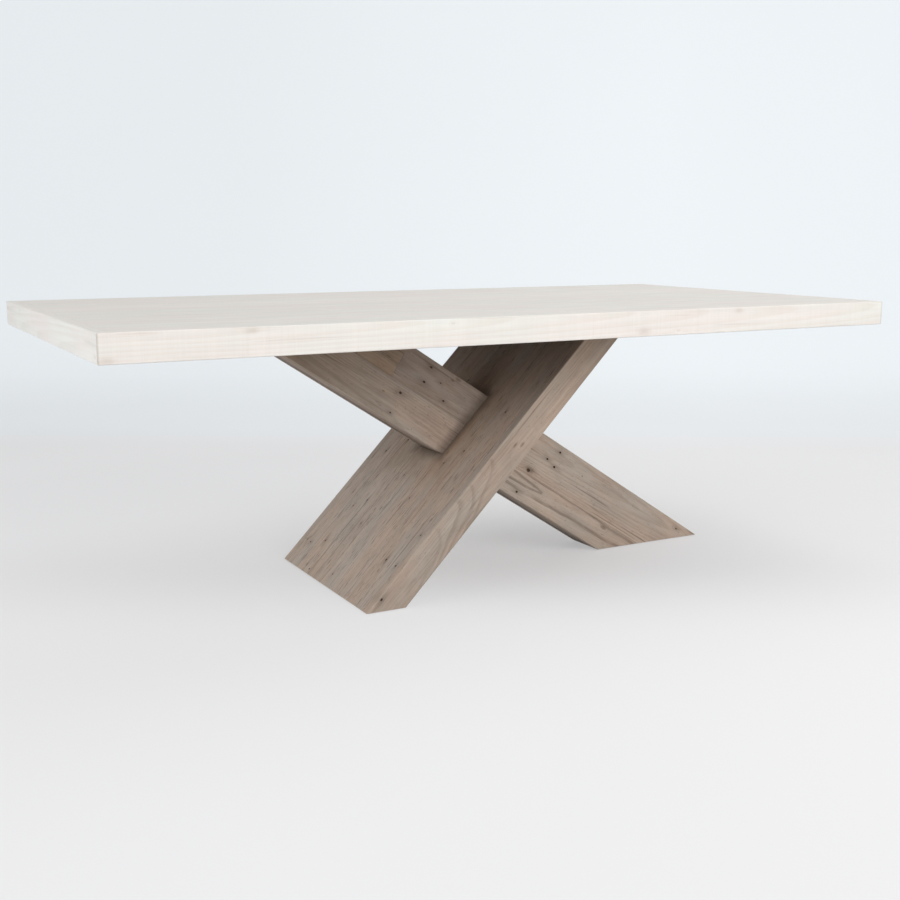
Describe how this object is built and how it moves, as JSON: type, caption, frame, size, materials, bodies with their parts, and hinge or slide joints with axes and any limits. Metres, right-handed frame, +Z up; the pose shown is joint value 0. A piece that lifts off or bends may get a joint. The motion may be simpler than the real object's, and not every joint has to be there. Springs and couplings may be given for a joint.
{
  "type": "sawbuck table",
  "caption": "Dining table with a thick whitewashed plank top and mitred edges on an off-centre crossed base, where a boxed beam passes through a wide leaning slab.",
  "frame": {"origin": "on the floor under the middle of the top", "axes": "+X along the top from the beam's head towards its foot, +Y across the top towards the back, +Z up"},
  "size_m": [2.16, 1.1, 0.76],
  "materials": {
    "top_wood": "whitewashed pine, matt",
    "leg_wood": "grey-brown reclaimed pine, matt",
    "frame_wood": "plain unfinished softwood",
    "plate_steel": "black powder coat",
    "fastener_steel": "zinc-plated",
    "felt": "dense felt"
  },
  "bodies": {
    "root": {"batten_beam_inner": "frame_wood", "batten_beam_outer": "frame_wood", "batten_left": "frame_wood", "batten_right": "frame_wood", "batten_slab": "frame_wood", "beam_back_foot_lower": "leg_wood", "beam_back_foot_upper": "leg_wood", "beam_back_head_lower": "leg_wood", "beam_back_head_upper": "leg_wood", "beam_core": "frame_wood", "beam_foot_block": "frame_wood", "beam_front_foot_lower": "leg_wood", "beam_front_foot_upper": "leg_wood", "beam_front_head_lower": "leg_wood", "beam_front_head_strip_middle": "leg_wood", "beam_front_head_strip_upper": "leg_wood", "beam_front_head_upper": "leg_wood", "beam_head_block": "frame_wood", "beam_plate": "plate_steel", "beam_under_board": "leg_wood", "beam_upper_board": "leg_wood", "corner_splines": "frame_wood", "crossing_dowels": "frame_wood", "edge_board_back": "top_wood", "edge_board_front": "top_wood", "edge_board_left": "top_wood", "edge_board_right": "top_wood", "foot_pads": "felt", "head_screws": "fastener_steel", "plate_bolts": "fastener_steel", "slab_edge_back": "leg_wood", "slab_edge_front": "leg_wood", "slab_foot_rail": "frame_wood", "slab_head_rail": "frame_wood", "slab_plate": "plate_steel", "slab_saddle_foot": "frame_wood", "slab_saddle_head": "frame_wood", "slab_stile_back": "frame_wood", "slab_stile_front": "frame_wood", "slab_under_board_1": "leg_wood", "slab_under_board_2": "leg_wood", "slab_under_board_3_foot": "leg_wood", "slab_under_board_3_head": "leg_wood", "slab_under_board_4": "leg_wood", "slab_under_board_5": "leg_wood", "slab_upper_board_1": "leg_wood", "slab_upper_board_2": "leg_wood", "slab_upper_board_3_foot": "leg_wood", "slab_upper_board_3_head": "leg_wood", "slab_upper_board_4": "leg_wood", "slab_upper_board_5": "leg_wood", "threaded_inserts": "fastener_steel", "top_plank_1": "top_wood", "top_plank_2": "top_wood", "top_plank_3": "top_wood", "top_plank_4": "top_wood", "top_plank_5": "top_wood", "top_plank_6": "top_wood", "top_plank_7": "top_wood"}
  },
  "joints": []
}
